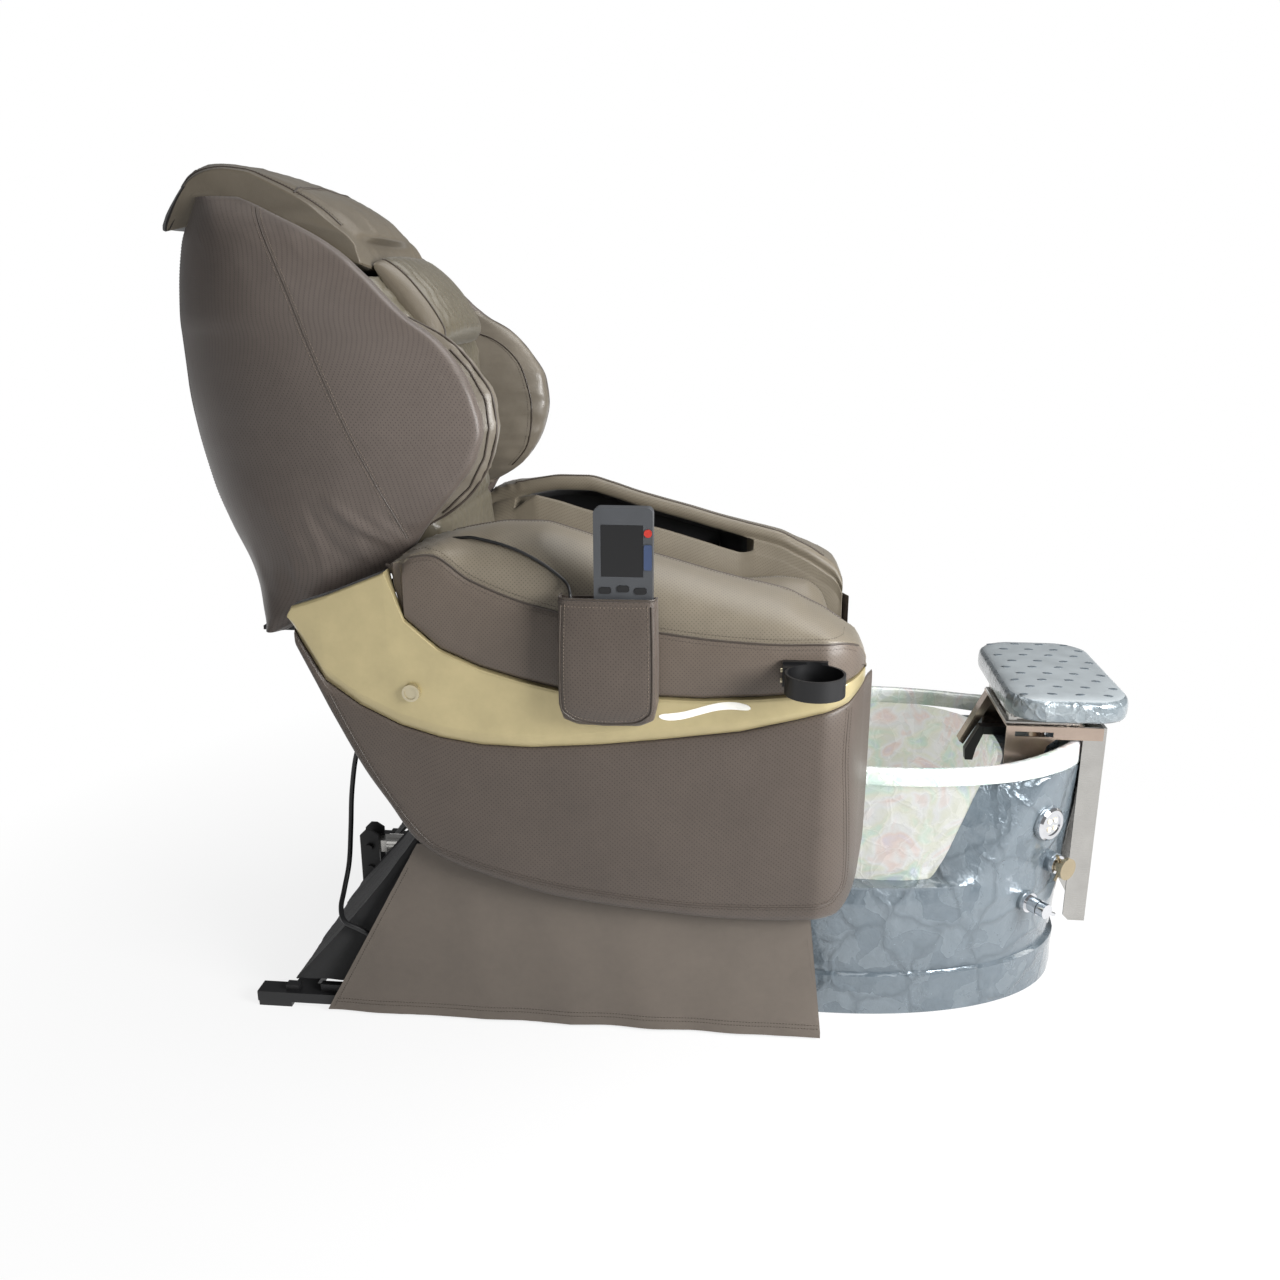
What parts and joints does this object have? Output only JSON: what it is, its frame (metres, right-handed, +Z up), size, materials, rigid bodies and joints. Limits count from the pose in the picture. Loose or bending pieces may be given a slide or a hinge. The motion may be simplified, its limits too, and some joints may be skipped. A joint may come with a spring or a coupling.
{
  "type": "pedicure spa chair",
  "caption": "Reclining massage chair with padded arms on sliding floor rails, joined to a foot basin with controls and an adjustable footrest.",
  "frame": {"origin": "on the floor under the middle cross member, in the centre plane", "axes": "+X to the front, where the foot basin is; +Y to the left of the seated user; +Z up"},
  "size_m": [1.6509, 0.851, 1.4329],
  "materials": {
    "black_metal": "satin",
    "frame_metal": "satin",
    "steel": "brushed",
    "gold_trim": "satin metallic",
    "leather_dark": "fine perforated",
    "leather_olive": "smooth",
    "leather_quilt": "quilted",
    "skirt_cloth": "matte",
    "curtain_cloth": "dull",
    "basin_shell": "clear over crinkled foil",
    "bowl_pearl": "pearly",
    "rim_clear": "clear",
    "rose_steel": "brushed",
    "pad_grey": "dimpled",
    "chrome_parts": "polished",
    "knob_bronze": "satin",
    "black_plastic": "matte",
    "key_cream": "gloss",
    "white_strip": "gloss",
    "grey_plastic": "satin",
    "screen": "gloss",
    "red_key": "gloss",
    "blue_key": "satin",
    "roller_pu": "smooth",
    "cord_black": "satin"
  },
  "bodies": {
    "base": {"floor_rails": "black_metal", "rail_feet": "cord_black", "cross_members": "black_metal", "actuator_clevis": "black_metal", "slide_actuator": "steel", "basin_body": "basin_shell", "basin_bowl": "bowl_pearl", "basin_rim": "rim_clear", "deck_cover": "basin_shell", "front_panel": "steel", "footrest_bracket": "rose_steel", "keypad_bezel": "chrome_parts", "valve_bodies": "chrome_parts", "spout": "black_plastic", "jet_housing": "grey_plastic", "pipe_fittings": "steel"},
    "carriage": {"seat_frame": "frame_metal", "seat_cushion": "leather_olive", "side_panel_right": "leather_dark", "side_panel_left": "leather_dark", "arm_right": "leather_olive", "arm_left": "leather_olive", "arm_liners": "curtain_cloth", "trim_right": "gold_trim", "trim_left": "gold_trim", "side_fasteners": "steel", "light_strips": "white_strip", "side_skirts": "skirt_cloth", "rear_curtain": "curtain_cloth", "cup_holder": "black_plastic", "remote_pocket": "leather_dark", "rear_cable": "cord_black", "remote_cord": "cord_black", "recline_tube": "black_metal"},
    "back": {"back_frame": "frame_metal", "back_shell": "leather_dark", "back_pad": "leather_quilt", "shoulder_wings": "leather_olive", "head_hood": "leather_olive"},
    "pillow": {"head_pillow": "leather_quilt"},
    "massage_unit": {"massage_carriage": "frame_metal"},
    "roller_pair": {"massage_rollers": "roller_pu"},
    "actuator_rod": {"recline_rod": "steel"},
    "remote": {"remote_body": "grey_plastic", "remote_screen": "screen"},
    "power_button": {"remote_power": "red_key"},
    "rocker_button": {"remote_rocker": "blue_key"},
    "button_1": {"remote_key_1": "black_plastic"},
    "button_2": {"remote_key_2": "black_plastic"},
    "button_3": {"remote_key_3": "black_plastic"},
    "footrest_post": {"footrest_slider": "steel"},
    "footrest": {"footrest_plate": "steel", "footrest_pad": "pad_grey"},
    "knob": {"valve_knob": "knob_bronze"},
    "diverter": {"diverter_lever": "chrome_parts"},
    "keypad_key_1": {"key_1": "key_cream"},
    "keypad_key_2": {"key_2": "key_cream"},
    "keypad_key_3": {"key_3": "key_cream"},
    "keypad_key_4": {"key_4": "key_cream"},
    "impeller": {"jet_rotor": "key_cream"}
  },
  "joints": [
    {"name": "seat_slide", "type": "slide", "parent": "base", "child": "carriage", "axis": [1, 0, 0], "range_m": [0, 0.1]},
    {"name": "recline", "type": "hinge", "parent": "carriage", "child": "back", "pos_m": [-0.36, 0, 0.5], "axis": [0, -1, 0], "range_deg": [0, 35]},
    {"name": "recline_rod_slide", "type": "slide", "parent": "carriage", "child": "actuator_rod", "axis": [1, 0, 0], "range_m": [0, 0.0602]},
    {"name": "pillow_lift", "type": "hinge", "parent": "back", "child": "pillow", "pos_m": [-0.443, 0, 1.275], "axis": [0, -1, 0], "range_deg": [0, 35]},
    {"name": "massage_travel", "type": "slide", "parent": "back", "child": "massage_unit", "axis": [-0.1888, 0, 0.982], "range_m": [-0.15, 0.17]},
    {"name": "massage_spin", "type": "hinge", "parent": "massage_unit", "child": "roller_pair", "pos_m": [-0.49015, 0, 0.99712], "axis": [0, 1, 0], "continuous": true},
    {"name": "footrest_height", "type": "slide", "parent": "base", "child": "footrest_post", "axis": [0, 0, 1], "range_m": [0, 0.045]},
    {"name": "footrest_tilt", "type": "hinge", "parent": "footrest_post", "child": "footrest", "pos_m": [0.652, 0, 0.511], "axis": [0, -1, 0], "range_deg": [0, 30]},
    {"name": "valve_turn", "type": "hinge", "parent": "base", "child": "knob", "pos_m": [0.74, -0.134, 0.25], "axis": [0.6018, -0.7986, 0], "range_deg": [-90, 90]},
    {"name": "diverter_turn", "type": "hinge", "parent": "base", "child": "diverter", "pos_m": [0.689, -0.171, 0.192], "axis": [0.6018, -0.7986, 0], "range_deg": [-60, 60]},
    {"name": "key_1_press", "type": "slide", "parent": "base", "child": "keypad_key_1", "axis": [-0.6018, 0.7986, 0], "range_m": [0, 0.001], "stiffness_N_per_m": 400},
    {"name": "key_2_press", "type": "slide", "parent": "base", "child": "keypad_key_2", "axis": [-0.6018, 0.7986, 0], "range_m": [0, 0.001], "stiffness_N_per_m": 400},
    {"name": "key_3_press", "type": "slide", "parent": "base", "child": "keypad_key_3", "axis": [-0.6018, 0.7986, 0], "range_m": [0, 0.001], "stiffness_N_per_m": 400},
    {"name": "key_4_press", "type": "slide", "parent": "base", "child": "keypad_key_4", "axis": [-0.6018, 0.7986, 0], "range_m": [0, 0.001], "stiffness_N_per_m": 400},
    {"name": "remote_lift", "type": "slide", "parent": "carriage", "child": "remote", "axis": [0, 0, 1], "range_m": [0, 0.12]},
    {"name": "power_press", "type": "slide", "parent": "remote", "child": "power_button", "axis": [0, 1, 0], "range_m": [0, 0.001], "stiffness_N_per_m": 400},
    {"name": "rocker_tilt", "type": "hinge", "parent": "remote", "child": "rocker_button", "pos_m": [0.033, -0.4018, 0.851], "axis": [1, 0, 0], "range_deg": [-3, 3], "stiffness_Nm_per_rad": 0.6},
    {"name": "button_1_press", "type": "slide", "parent": "remote", "child": "button_1", "axis": [0, 1, 0], "range_m": [0, 0.001], "stiffness_N_per_m": 400},
    {"name": "button_2_press", "type": "slide", "parent": "remote", "child": "button_2", "axis": [0, 1, 0], "range_m": [0, 0.001], "stiffness_N_per_m": 400},
    {"name": "button_3_press", "type": "slide", "parent": "remote", "child": "button_3", "axis": [0, 1, 0], "range_m": [0, 0.001], "stiffness_N_per_m": 400},
    {"name": "jet_spin", "type": "hinge", "parent": "base", "child": "impeller", "pos_m": [0.5, 0, 0.17], "axis": [0, 0, 1], "continuous": true}
  ],
  "couplings": [
    {"joint": "recline_rod_slide", "follows": "recline", "m_per_rad": 0.09835}
  ]
}
